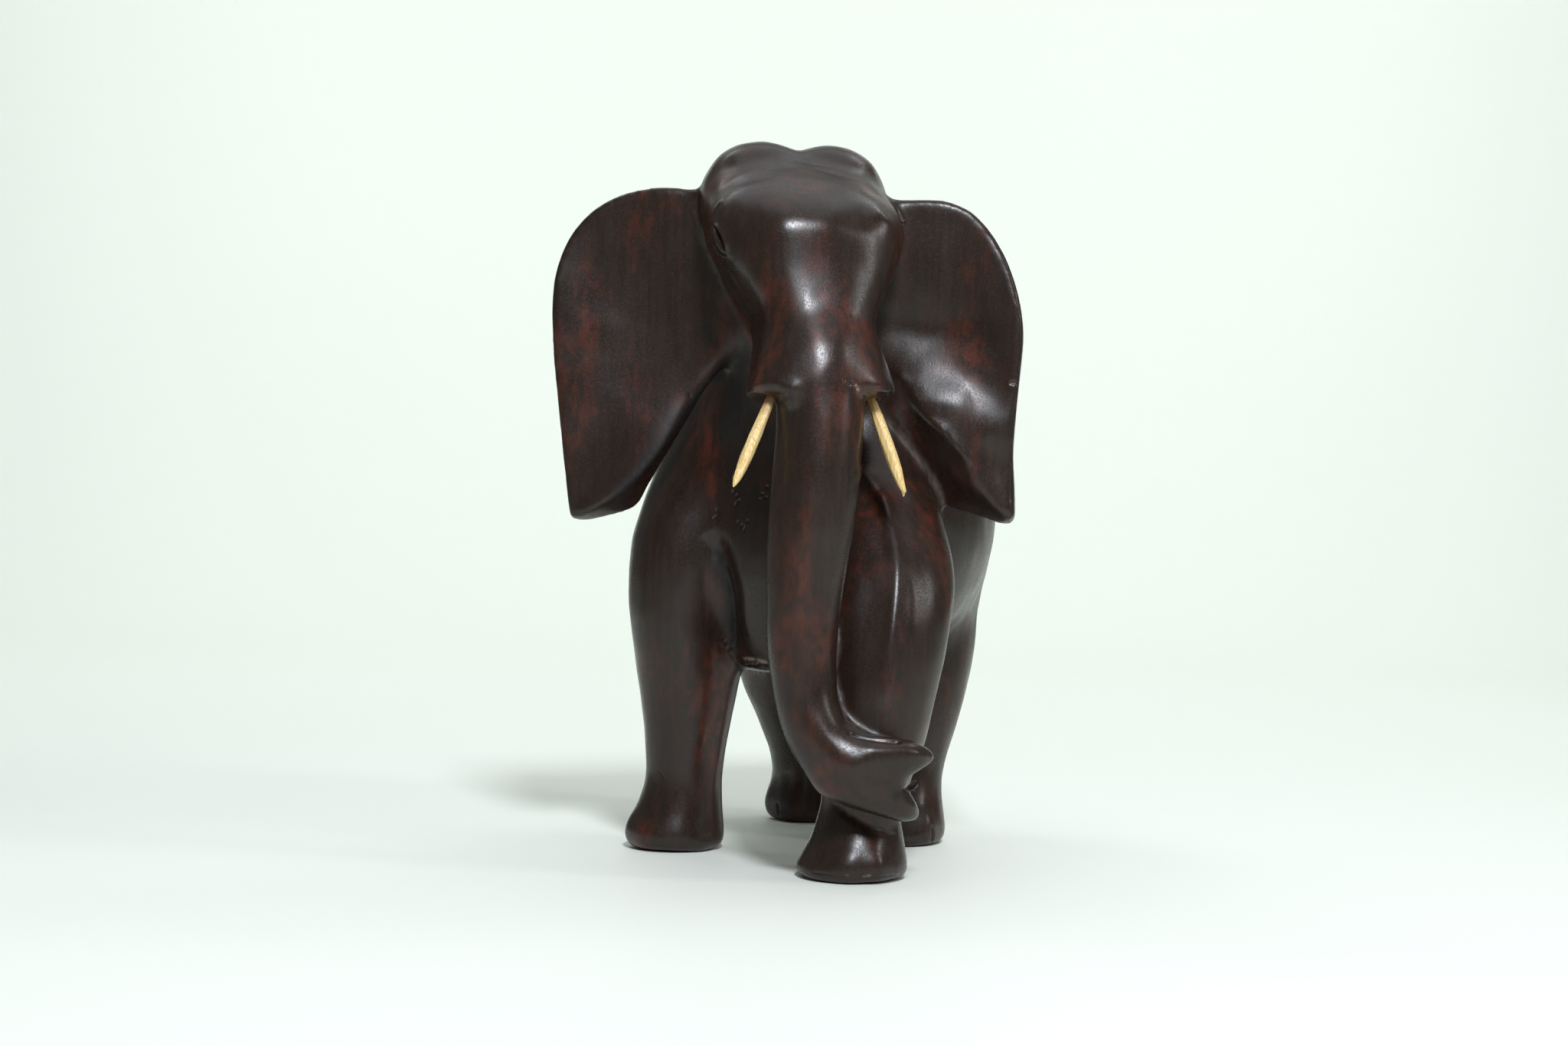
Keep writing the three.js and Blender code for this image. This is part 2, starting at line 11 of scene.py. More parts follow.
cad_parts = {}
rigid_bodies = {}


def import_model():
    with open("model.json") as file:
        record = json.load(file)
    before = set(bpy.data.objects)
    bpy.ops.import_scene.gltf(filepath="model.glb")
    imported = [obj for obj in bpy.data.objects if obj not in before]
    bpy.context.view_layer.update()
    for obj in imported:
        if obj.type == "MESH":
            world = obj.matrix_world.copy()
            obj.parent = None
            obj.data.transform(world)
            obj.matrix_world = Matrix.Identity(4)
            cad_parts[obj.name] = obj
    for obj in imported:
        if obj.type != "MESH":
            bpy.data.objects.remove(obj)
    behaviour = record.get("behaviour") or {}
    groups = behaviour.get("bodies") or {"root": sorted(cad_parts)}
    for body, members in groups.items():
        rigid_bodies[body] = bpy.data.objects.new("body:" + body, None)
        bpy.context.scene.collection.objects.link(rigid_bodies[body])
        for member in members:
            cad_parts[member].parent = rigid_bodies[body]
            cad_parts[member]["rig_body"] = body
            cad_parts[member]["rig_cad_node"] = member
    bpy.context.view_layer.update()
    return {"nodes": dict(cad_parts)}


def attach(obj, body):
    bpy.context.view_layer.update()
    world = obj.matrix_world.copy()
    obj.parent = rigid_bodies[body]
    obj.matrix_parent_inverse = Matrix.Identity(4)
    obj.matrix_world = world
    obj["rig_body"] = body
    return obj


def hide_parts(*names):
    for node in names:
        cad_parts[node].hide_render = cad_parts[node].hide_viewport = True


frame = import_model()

# Millimetres in this script's numbers, metres in Blender
MM = 0.001

# Camera: where it stands, and how it looks at the elephant
IMAGE_SIZE = (2048, 1366)
FOCAL_PIXELS = 3142
EYE_POINT = np.array([473.5, -1330.3, 189.0])
HEADING = np.array([-0.35, 0.937, 0.0]) / math.hypot(0.35, 0.937)
ROLL = 0.0225  # radians, anticlockwise, so upright things lean a little to the right in the picture
ACROSS = np.cross(HEADING, [0, 0, 1])
IMAGE_RIGHT = ACROSS * math.cos(ROLL) + np.array([0, 0, 1]) * math.sin(ROLL)
IMAGE_UP = np.cross(IMAGE_RIGHT, HEADING)

# Head: where it turns, and how far
NECK = np.array([-2.5, -62.0])
HEAD_TURN = math.radians(35)

# Surface of the carving
VOXEL = 1.5  # millimetres between its points, and half of that round the fine details
MOST_TRIANGLES = 192_000

# Places that the picture shows rounded off: a line of the picture's pixels, half its width in millimetres,
# how far it is evened out, and the millimetres laid on first.
SOFT_PLACES = [
    ("top of the brow", [(955, 240), (1000, 228), (1050, 225), (1100, 231), (1135, 246)], 13, 100, 0.0),
    ("foot of the lobes", [(985, 210), (1035, 204), (1070, 210), (1110, 220), (1150, 234)], 9, 70, 0.0),
    ("forehead", [(985, 284), (1030, 282), (1080, 282), (1125, 284)], 15, 120, 0.0),
    ("root of the trunk", [(1026, 506), (1036, 508), (1036, 520)], 6, 20, 3.4),
    ("fore foot", [(1080, 1105), (1110, 1105), (1145, 1105), (1172, 1108)], 15, 60, 0.0),
]
# Carving that the picture shows. Each line is given by pixels of the picture, then half its width and its
# height in millimetres, where a cut has a negative height.
BROAD_STROKES = [
    ("valley behind the brow",
     [(938, 250), (970, 228), (1024, 219), (1062, 221), (1124, 238), (1150, 260)], 6, -0.4),
    ("brow", [(938, 270), (970, 246), (1024, 235), (1085, 236), (1131, 252)], 9, 0.3),
    ("bulge round the eye", [(936, 285), (938, 315), (952, 345)], 11, 1.6),
    ("bulge of the forehead", [(1030, 290), (1050, 286), (1075, 288)], 19, 2.4),
    ("temple", [(1148, 282), (1158, 290)], 10, 1.4),
    ("hollow below the eye", [(958, 350), (985, 390), (995, 430)], 9, -0.6),
    ("fold below the eye", [(944, 342), (955, 358), (969, 382)], 3.6, 0.7),
    ("mound of the left ear", [(1200, 515), (1245, 530), (1288, 560)], 21, 4.2),
    ("swelling at the left ear's tip", [(1276, 634), (1306, 664)], 16, 3.8),
    ("rolled border of the left ear",
     [(1165, 484), (1182, 498), (1205, 538), (1234, 567), (1272, 608)], 5, 1.2),
    ("groove of the left ear", [(1184, 500), (1204, 526), (1232, 560)], 4.5, -0.5),
    ("hollow of the left ear", [(1176, 425), (1215, 432), (1268, 428)], 17, -1.8),
    ("leg ridge", [(1150, 640), (1163, 690), (1172, 740), (1168, 800), (1163, 850), (1158, 925)], 6, 1.6),
    ("outer leg ridge", [(1182, 725), (1190, 770), (1190, 830)], 5, 0.5),
    ("flat of the leg", [(1128, 700), (1136, 770), (1134, 830), (1130, 890)], 12, -1.2),
    ("shoulder arc", [(1116, 614), (1137, 632), (1152, 655), (1163, 690)], 6, 1.2),
    ("hollow above the shoulder arc", [(1140, 600), (1165, 630), (1182, 665)], 8, -0.9),
    ("hollow beside the chest", [(922, 695), (940, 728), (951, 765), (956, 808), (958, 850)], 11, -4.2),
    ("undercut of the trunk", [(1086, 1046), (1110, 1063), (1140, 1078), (1172, 1087)], 4.5, -2.2),
    ("ridge of the trunk's finger", [(1120, 978), (1150, 980), (1188, 981), (1211, 987)], 6, 0.9),
    ("hollow under the finger", [(1112, 1008), (1145, 1012), (1178, 1014)], 7, -1.0),
    ("flat of the fore leg", [(900, 760), (905, 830), (900, 900), (895, 960)], 16, -0.8),
    ("knot in the fore leg", [(905, 722), (918, 716), (925, 726), (914, 736)], 4, 0.5),
]
FINE_STROKES = [
    ("edge above the eye", [(946, 258), (936, 270), (930, 283), (926, 293)], 2.2, 0.6),
    ("chest crease", [(945, 735), (955, 770), (959, 808), (960, 846)], 2.4, -1.6),
    ("upper edge of the ledge", [(971, 861), (986, 862), (1001, 866)], 1.3, 1.0),
    ("cut under the ledge", [(974, 869), (988, 870), (1001, 873)], 1.2, -1.3),
    ("groove over the trunk", [(1107, 957), (1124, 962), (1150, 966), (1178, 969)], 2.0, -1.8),
    ("mouth of the trunk", [(1199, 1021), (1189, 1027), (1178, 1034)], 1.8, -1.9),
    ("rim of the fore foot", [(1060, 1139), (1100, 1144), (1140, 1145), (1178, 1142)], 0.9, -0.5),
    ("step in the hind foot", [(1217, 1078), (1219, 1090), (1217, 1100)], 1.6, -2.2),
    ("cleft in the hind foot", [(1014, 1048), (1016, 1056), (1017, 1066)], 1.2, -1.4),
    ("edge of the right cheek", [(976, 513), (985, 511), (997, 513), (1008, 516)], 1.3, 0.5),
    ("edge of the left cheek", [(1124, 513), (1140, 510), (1155, 510), (1163, 512)], 1.3, 0.5),
    ("notch in the ear's border", [(899, 512), (904, 521)], 1.5, -0.9),
    ("notch in the ear's rim", [(1321, 500), (1332, 500)], 1.4, -1.0),
]
SCRATCHES = [
    [(876, 962), (884, 968), (891, 978), (894, 990)],
    [(858, 1004), (864, 1010), (869, 1020)],
    [(881, 985), (886, 996)],
]
# Pits: pixels of the picture, radius and depth in millimetres
PITS = [
    (960, 617, 0.9, 0.8), (958, 625, 0.8, 0.8), (957, 642, 1.0, 0.9), (962, 647, 0.9, 0.7),
    (966, 653, 0.8, 0.7), (960, 659, 0.9, 0.8), (1002, 636, 1.0, 0.8), (997, 646, 0.9, 0.8),
    (993, 652, 0.8, 0.7), (1001, 650, 0.8, 0.7), (963, 683, 0.8, 0.7), (969, 686, 1.0, 0.8),
    (976, 681, 0.9, 0.8), (971, 692, 1.0, 0.8), (936, 667, 1.0, 0.5), (932, 676, 0.9, 0.5),
    (1103, 497, 0.7, 0.6), (1113, 497, 0.8, 0.8), (1117, 500, 0.8, 0.8), (1119, 507, 0.9, 0.9),
    (1110, 503, 0.6, 0.5), (946, 836, 1.1, 0.7), (951, 842, 1.2, 0.8), (944, 846, 1.0, 0.7),
    (955, 848, 1.0, 0.7),
]
# Rough places: a pixel of the picture, radius and height in millimetres
ROUGH_PLACES = [((948, 842), 7, 0.5), ((986, 868), 7, 0.8), ((1190, 1030), 4, 0.4)]
# Unpolished places, rougher and with painted shade: pixels of the picture and half the width in millimetres
DULL_SHADED_PLACES = [
    ([(962, 462), (930, 496), (890, 546), (850, 596), (812, 648)], 8),
    ([(968, 470), (960, 520), (950, 560)], 12),
    ([(940, 728), (952, 765), (957, 805), (960, 840)], 9),
    ([(1170, 1040), (1190, 1027)], 3),
]
WORN_LINES = [
    ([(971, 860), (986, 861), (1001, 865)], 1.3),
    ([(974, 875), (988, 877), (1001, 880)], 1.2),
    ([(1190, 1024), (1180, 1030)], 1.6),
    ([(1118, 504), (1121, 510)], 1.0),
    ([(1106, 1143), (1114, 1145)], 0.7),
    ([(1128, 1144), (1140, 1143)], 0.7),
]
EYE_TOP = (930, 292)
EYE_BOTTOM = (949, 337)
HIDDEN_EYE = (56, 35.5, 348.7)  # across, ahead and up from the neck
# Millimetres
EYE_HALF_LENGTH = 9.6
EYE_HALF_WIDTH = 4.0
SOCKET_DEPTH = 2.9
EYEBALL_HEIGHT = 3.9  # above the floor of its socket
LID_HEIGHT = 1.2
KNIFE_MARK_HEIGHT = 0.16
KNIFE_MARK_LENGTH = 22
SCRATCH_HALF_WIDTH = 0.5
SCRATCH_DEPTH = 0.14
SOLE = 0.35  # height from the ground under which the feet are sawn flat


def only(piece):
    """Makes one object the only selected and the active one."""
    bpy.ops.object.select_all(action="DESELECT")
    piece.select_set(True)
    bpy.context.view_layer.objects.active = piece


def finish_with(piece, kind, **settings):
    """Adds a modifier with its settings and applies it."""
    only(piece)
    modifier = piece.modifiers.new(kind.title(), kind)
    for name, value in settings.items():
        setattr(modifier, name, value)
    bpy.ops.object.modifier_apply(modifier=modifier.name)


def extrude(x, y, z):
    """Extrudes what is selected, by a distance in metres."""
    bpy.ops.mesh.extrude_region_move(TRANSFORM_OT_translate={"value": (x, y, z)})


def falloff(distance, width):
    """How strong a soft line is at a distance from its middle."""
    return np.exp(-((distance / width) ** 2) * 2.0)


def from_head(across, ahead, height):
    """A place given in the head's own directions, in the part's millimetres."""
    c, s = math.cos(HEAD_TURN), math.sin(HEAD_TURN)
    return np.array([NECK[0] + across * c + ahead * s, NECK[1] + across * s - ahead * c, height])


def rounded_path(points, spacing):
    """A smooth line through a few points, as closer points."""
    points = np.array(points, float)
    if len(points) == 1:
        return points
    ends = np.vstack([2 * points[0] - points[1], points, 2 * points[-1] - points[-2]])
    out = []
    for a, b, c, d in zip(ends, ends[1:], ends[2:], ends[3:]):
        steps = max(1, round(float(np.linalg.norm(c - b)) / spacing))
        for t in np.arange(steps) / steps:
            out.append(0.5 * (2 * b + (c - a) * t + (2 * a - 5 * b + 4 * c - d) * t**2
                              + (3 * b - a - 3 * c + d) * t**3))
    out.append(points[-1])
    return np.array(out)


class Carving:
    """A piece's mesh as arrays in millimetres, and the carver's few tools on it."""

    def __init__(self, piece):
        self.piece = piece
        self.layers = {}
        self.read()

    def read(self):
        mesh = self.piece.data
        count = len(mesh.vertices)
        flat = np.empty(count * 3)
        mesh.vertices.foreach_get("co", flat)
        self.points = flat.reshape(-1, 3) / MM
        mesh.vertices.foreach_get("normal", flat)
        self.normals = flat.reshape(-1, 3).copy()
        self.edges = np.empty(len(mesh.edges) * 2, np.int32)
        mesh.edges.foreach_get("vertices", self.edges)
        self.edges = self.edges.reshape(-1, 2)
        self.tree = BVHTree.FromObject(self.piece, bpy.context.evaluated_depsgraph_get())

    def write(self):
        self.piece.data.vertices.foreach_set("co", (self.points * MM).ravel())
        self.piece.data.update()
        bpy.context.view_layer.update()
        self.read()

    def seen_at(self, x, y):
        """Where the picture's pixel falls on the carving, with the surface's direction there."""
        away = HEADING * FOCAL_PIXELS + IMAGE_RIGHT * (x - IMAGE_SIZE[0] / 2)
        away = away - IMAGE_UP * (y - IMAGE_SIZE[1] / 2)
        place, normal, _, _ = self.tree.ray_cast(Vector(EYE_POINT * MM), Vector(away).normalized())
        return None if place is None else (np.array(place) / MM, np.array(normal))

    def nearest(self, point):
        place, normal, _, _ = self.tree.find_nearest(Vector(np.array(point) * MM))
        return np.array(place) / MM, np.array(normal)

    def seen_line(self, pixels):
        """The line on the carving along a few pixels of the picture."""
        found = [self.seen_at(*pixel) for pixel in rounded_path(pixels, 5)]
        return [place for place in found if place is not None]

    def near(self, line, width):
        """The points near a line, with their distance from it, place along it and the way it faces there,
        then the line's length."""
        places = np.array([place for place, _ in line])
        low, high = places.min(0) - 3 * width, places.max(0) + 3 * width
        index = np.nonzero(((self.points > low) & (self.points < high)).all(1))[0]
        points = self.points[index]
        best = np.full(len(index), np.inf)
        along = np.zeros(len(index))
        facing = np.zeros((len(index), 3))
        travelled = 0.0
        pairs = list(zip(line, line[1:])) or [(line[0], line[0])]
        for (a, na), (b, nb) in pairs:
            step = b - a
            length = float(np.linalg.norm(step))
            t = np.clip(((points - a) @ step) / max(length**2, 1e-9), 0, 1)
            distance = np.linalg.norm(points - a - t[:, None] * step, axis=1)
            closer = distance < best
            best[closer] = distance[closer]
            along[closer] = travelled + t[closer] * length
            facing[closer] = (na + (nb - na) * t[:, None])[closer]
            travelled += length
        facing /= np.linalg.norm(facing, axis=1)[:, None] + 1e-9
        front = (self.normals[index] * facing).sum(1) > 0.15
        return index[front], best[front], along[front], facing[front], travelled

    def stroke(self, line, width, height, fade=0.0):
        """Raises, or with a negative height cuts, a soft line on the carving."""
        if not line:
            return
        index, distance, along, facing, length = self.near(line, width)
        weight = falloff(distance, width)
        if fade and length > 2 * fade:
            weight *= np.clip(along / fade, 0, 1) * np.clip((length - along) / fade, 0, 1)
        self.points[index] += facing * (weight * height)[:, None]

    def soften(self, line, width, rounds):
        """Rounds the surface off near a line."""
        index, distance, _, _, _ = self.near(line, width)
        change = self.averaged(self.points, rounds)[index] - self.points[index]
        self.points[index] += falloff(distance, width)[:, None] * change

    def rub(self, line, width, name):
        """Marks points near a line in one of the piece's paint layers."""
        index, distance, _, _, _ = self.near(line, width)
        layer = self.layers.setdefault(name, np.zeros(len(self.points)))
        layer[index] = np.maximum(layer[index], falloff(distance, width))

    def averaged(self, values, rounds):
        """Values evened out over the mesh."""
        count = len(self.points)
        a, b = self.edges[:, 0], self.edges[:, 1]
        ways = np.bincount(a, minlength=count) + np.bincount(b, minlength=count)
        for _ in range(rounds):
            total = np.stack([
                np.bincount(a, column[b], count) + np.bincount(b, column[a], count)
                for column in values.T
            ], axis=1)
            values = 0.4 * values + 0.6 * total / ways[:, None]
        return values

    def paint(self, name, values):
        layer = self.piece.data.attributes.new(name, "FLOAT", "POINT")
        layer.data.foreach_set("value", values.astype(np.float32))


# Camera
def place_camera():
    camera = bpy.data.objects.new("camera", bpy.data.cameras.new("camera"))
    bpy.context.scene.collection.objects.link(camera)
    camera.data.sensor_width = 36
    camera.data.lens = 36 * FOCAL_PIXELS / IMAGE_SIZE[0]
    camera.data.clip_end = 50
    turn = Matrix([IMAGE_RIGHT, IMAGE_UP, -HEADING]).transposed().to_4x4()
    camera.matrix_world = Matrix.Translation(Vector(EYE_POINT * MM)) @ turn
    bpy.context.scene.camera = camera


place_camera()


# Materials
def linear(hex_colour):
    """An sRGB hex colour as linear red, green, blue and alpha."""
    channels = [int(hex_colour[i:i + 2], 16) / 255 for i in (1, 3, 5)]
    return [c / 12.92 if c <= 0.04045 else ((c + 0.055) / 1.055) ** 2.4 for c in channels] + [1.0]


def add(tree, kind, links=None, **settings):
    """Adds a node with its settings, then its inputs, which are values or other nodes' outputs."""
    node = tree.nodes.new(kind)
    for name, value in settings.items():
        setattr(node, name, value)
    for key, value in (links or {}).items():
        socket = node.inputs[key]
        if isinstance(value, bpy.types.NodeSocket):
            tree.links.new(value, socket)
        else:
            socket.default_value = value
    return node


def new_material(name):
    material = bpy.data.materials.new(name)
    material.use_nodes = True
    tree = material.node_tree
    tree.nodes.clear()
    return material, tree


def mixed(tree, factor, low, high):
    """One colour over another, by a factor."""
    return add(tree, "ShaderNodeMix", {0: factor, 6: low, 7: high}, data_type="RGBA").outputs[2]


def worked_out(tree, operation, *values):
    """Values or other nodes' outputs put through one sum."""
    return add(tree, "ShaderNodeMath", dict(enumerate(values)), operation=operation).outputs[0]


def painted(tree, name):
    """One of the piece's paint layers."""
    return add(tree, "ShaderNodeAttribute", attribute_name=name).outputs["Fac"]


def ranged(tree, value, low, high, to_low=0.0, to_high=1.0):
    """A value's range stretched to another, smoothly."""
    node = add(tree, "ShaderNodeMapRange", interpolation_type="SMOOTHSTEP", links={
        "Value": value, "From Min": low, "From Max": high, "To Min": to_low, "To Max": to_high})
    return node.outputs[0]


def streaks(tree, place, wide, long, detail=2.0, roughness=0.5):
    """Noise drawn out along the grain, which stands upright. Its width and length are in millimetres."""
    stretched = add(tree, "ShaderNodeMapping", {
        "Vector": place, "Scale": (1 / (wide * MM), 1 / (wide * MM), 1 / (long * MM))})
    noise = add(tree, "ShaderNodeTexNoise", {
        "Vector": stretched.outputs[0], "Scale": 1.0, "Detail": detail, "Roughness": roughness})
    return noise.outputs[0]


def stained_hardwood():
    """Close-grained hardwood, stained nearly black and waxed: the stain is thinner in upright reddish
    patches, the pores are fine dark dashes, and wax and dust lie pale in the hollows."""
    material, tree = new_material("stained waxed hardwood")
    place = add(tree, "ShaderNodeTexCoord").outputs["Object"]
    patches = streaks(tree, place, 30, 75, 5, 0.62)
    grain = streaks(tree, place, 3.2, 40, 3, 0.55)
    cloud = streaks(tree, place, 5, 9, 3)
    stretched = add(tree, "ShaderNodeMapping", {
        "Vector": place, "Scale": (1 / (1.7 * MM), 1 / (1.7 * MM), 1 / (11 * MM))})
    pores = add(tree, "ShaderNodeTexVoronoi", {"Vector": stretched.outputs[0], "Scale": 1.0}).outputs[0]
    handled = streaks(tree, place, 26, 26, 3)
    hollow, worn, shaded_pits, dull_shaded = [painted(tree, name) for name in ("hollow", "worn", "shaded_pits", "dull_shaded")]
    scuffs = add(tree, "ShaderNodeTexNoise", {
        "Vector": place, "Scale": 1 / (1.1 * MM), "Detail": 3.0, "Roughness": 0.7}).outputs[0]

    stain = mixed(tree, ranged(tree, grain, 0.3, 0.75), linear("#211712"), linear("#2b1d16"))
    red = worked_out(tree, "MULTIPLY", ranged(tree, patches, 0.48, 0.68), ranged(tree, cloud, 0.3, 0.65))
    colour = mixed(tree, red, stain, linear("#4a2318"))
    colour = mixed(tree, ranged(tree, pores, 0.2, 0.1, 0.0, 0.3), colour, linear("#160d0b"))
    dust = worked_out(tree, "MULTIPLY", ranged(tree, hollow, 0.1, 0.8), ranged(tree, cloud, 0.3, 0.7))
    colour = mixed(tree, dust, colour, linear("#3f352f"))
    bare = worked_out(tree, "MULTIPLY", worn, ranged(tree, cloud, 0.35, 0.6))
    colour = mixed(tree, bare, colour, linear("#8a7868"))
    # painted shade: the unpolished places are painted near black, as well as made rougher below
    colour = mixed(tree, dull_shaded, colour, linear("#130d0b"))
    # painted shade: the pits and the eye's open socket are painted near black
    colour = mixed(tree, shaded_pits, colour, linear("#0d0807"))

    polish = ranged(tree, handled, 0.3, 0.7, 0.25, 0.34)
    wax = worked_out(tree, "MULTIPLY_ADD", ranged(tree, scuffs, 0.45, 0.7), 0.14, polish)
    roughness = worked_out(tree, "MULTIPLY_ADD", dust, 0.25, wax)
    roughness = worked_out(tree, "MULTIPLY_ADD", dull_shaded, 0.3, roughness)
    pore_cuts = ranged(tree, pores, 0.05, 0.25, 0.0, 0.15)
    skin = worked_out(tree, "MULTIPLY_ADD", grain, 0.35, pore_cuts)
    skin = worked_out(tree, "MULTIPLY_ADD", scuffs, 0.3, skin)
    bump = add(tree, "ShaderNodeBump", {"Strength": 0.4, "Distance": 0.3 * MM, "Height": skin})
    shader = add(tree, "ShaderNodeBsdfPrincipled", {
        "Base Color": colour, "Roughness": roughness, "Normal": bump.outputs[0], "IOR": 1.45})
    add(tree, "ShaderNodeOutputMaterial", {"Surface": shader.outputs[0]})
    return material


def whittled_wood():
    """Pale boxwood-like stick, whittled with a knife and left bare: straw yellow with fine streaks along
    it, and brown where stain has run in at the root."""
    material, tree = new_material("whittled pale wood")
    place = add(tree, "ShaderNodeTexCoord").outputs["Object"]
    grain = streaks(tree, place, 0.7, 16, 3)
    colour = mixed(tree, ranged(tree, grain, 0.35, 0.65), linear("#ecd398"), linear("#d3ac68"))
    colour = mixed(tree, painted(tree, "root"), colour, linear("#7a4a25"))
    bump = add(tree, "ShaderNodeBump", {"Strength": 0.3, "Distance": 0.15 * MM, "Height": grain})
    shader = add(tree, "ShaderNodeBsdfPrincipled", {
        "Base Color": colour, "Roughness": 0.5, "Normal": bump.outputs[0], "IOR": 1.5})
    add(tree, "ShaderNodeOutputMaterial", {"Surface": shader.outputs[0]})
    return material


# Elephant: the solid's own shape, evened out, then carved finer
def carved_block():
    """A copy of the solid with its facets rounded away, as one even skin."""
    node = frame["nodes"]["elephant"]
    piece = node.copy()
    piece.data = node.data.copy()
    piece.name = "carved_elephant"
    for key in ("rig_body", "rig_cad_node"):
        del piece[key]
    bpy.context.scene.collection.objects.link(piece)
    piece.parent = None
    only(piece)
    bpy.ops.object.mode_set(mode="EDIT")
    bpy.ops.mesh.select_all(action="SELECT")
    bpy.ops.mesh.remove_doubles(threshold=0.01 * MM)
    bpy.ops.object.mode_set(mode="OBJECT")
    finish_with(piece, "SUBSURF", levels=2, render_levels=2)
    finish_with(piece, "REMESH", mode="VOXEL", voxel_size=VOXEL * MM)
    finish_with(piece, "SMOOTH", factor=0.5, iterations=14)
    return piece


def eye_places(carving):
    """Each eye as its middle, its long axis, the ways it is seen from and stands out, and the way ahead."""
    top, _ = carving.seen_at(*EYE_TOP)
    bottom, _ = carving.seen_at(*EYE_BOTTOM)
    middle, normal = carving.seen_at((EYE_TOP[0] + EYE_BOTTOM[0]) / 2, (EYE_TOP[1] + EYE_BOTTOM[1]) / 2)
    axis = (top - bottom) / np.linalg.norm(top - bottom)
    facing = 0.45 * normal - 0.55 * HEADING
    facing /= np.linalg.norm(facing)
    left = from_head(1, 0, 0) - from_head(0, 0, 0)
    ahead = from_head(0, 1, 0) - from_head(0, 0, 0)
    hidden, _ = carving.nearest(from_head(*HIDDEN_EYE))
    mirrored = [way - 2 * (way @ left) * left for way in (axis, facing, normal)]
    return [(middle, axis, facing, normal, ahead), (hidden, *mirrored, ahead)]


def refine(carving, places):
    """Halves the faces near some places, each a point with a radius in millimetres."""
    mesh = carving.piece.data
    centres = np.empty(len(mesh.polygons) * 3)
    mesh.polygons.foreach_get("center", centres)
    centres = centres.reshape(-1, 3) / MM
    chosen = np.zeros(len(centres), bool)
    for place, radius in places:
        chosen |= ((centres - place) ** 2).sum(1) < radius**2
    only(carving.piece)
    bpy.ops.object.mode_set(mode="EDIT")
    bpy.ops.mesh.select_mode(type="FACE")
    bpy.ops.mesh.select_all(action="DESELECT")
    bpy.ops.object.mode_set(mode="OBJECT")
    mesh.polygons.foreach_set("select", chosen)
    bpy.ops.object.mode_set(mode="EDIT")
    bpy.ops.mesh.subdivide(number_cuts=1, smoothness=0)
    bpy.ops.object.mode_set(mode="OBJECT")
    carving.read()


def carve_eye(carving, middle, axis, facing, normal, ahead):
    """An almond eye: a long narrow ball in a deep socket, between two raised lids that meet in points, with
    painted shade in the open socket.
    """
    index = np.nonzero(((carving.points - middle) ** 2).sum(1) < 20**2)[0]
    index = index[(carving.normals[index] @ normal) > 0.2]
    axis = axis - (axis @ facing) * facing
    axis /= np.linalg.norm(axis)
    side = np.cross(axis, facing)
    side *= 1 if side @ ahead > 0 else -1
    u = (carving.points[index] - middle) @ axis
    v = (carving.points[index] - middle) @ side
    narrowing = np.clip(1 - (u / EYE_HALF_LENGTH) ** 2, 0, 1)
    width = np.maximum(EYE_HALF_WIDTH * narrowing**0.75, 0.3)
    beyond = np.hypot(np.maximum(np.abs(v) - width, 0), np.maximum(np.abs(u) - EYE_HALF_LENGTH, 0))
    open_part = np.clip(2.5 * (1 - (v / width) ** 2), 0, 1) * (narrowing > 0)
    round_part = np.clip(1 - ((v + 0.3 * width) / (0.6 * width)) ** 2, 0, 1)
    round_part *= np.clip(1.5 * narrowing, 0, 1)
    ball = EYEBALL_HEIGHT * np.sqrt(round_part)
    lids = LID_HEIGHT * np.exp(-(((beyond - 1.3) / 1.1) ** 2)) * np.exp(-((u / 11) ** 4)) * (beyond > 0)
    around = -0.8 * np.exp(-(((beyond - 5.5) / 2.5) ** 2)) * np.exp(-((u / 10) ** 2))
    carving.points[index] += normal * (ball - SOCKET_DEPTH * open_part + lids + around)[:, None]
    # painted shade: the open socket beside the ball is painted near black
    shade = carving.layers.setdefault("shaded_pits", np.zeros(len(carving.points)))
    shade[index] = np.maximum(shade[index], open_part * (1 - np.clip(3 * round_part, 0, 1)))


def undulation(points, wave, seed):
    """Gentle unevenness left by the knife, mostly within one either way. The wave is in millimetres."""
    rng = np.random.default_rng(seed)
    total = np.zeros(len(points))
    for _ in range(12):
        way = rng.normal(size=3)
        way /= np.linalg.norm(way)
        length = wave * rng.uniform(0.7, 1.5)
        total += np.sin(points @ way * (2 * math.pi / length) + rng.uniform(0, 2 * math.pi))
    return total / 5


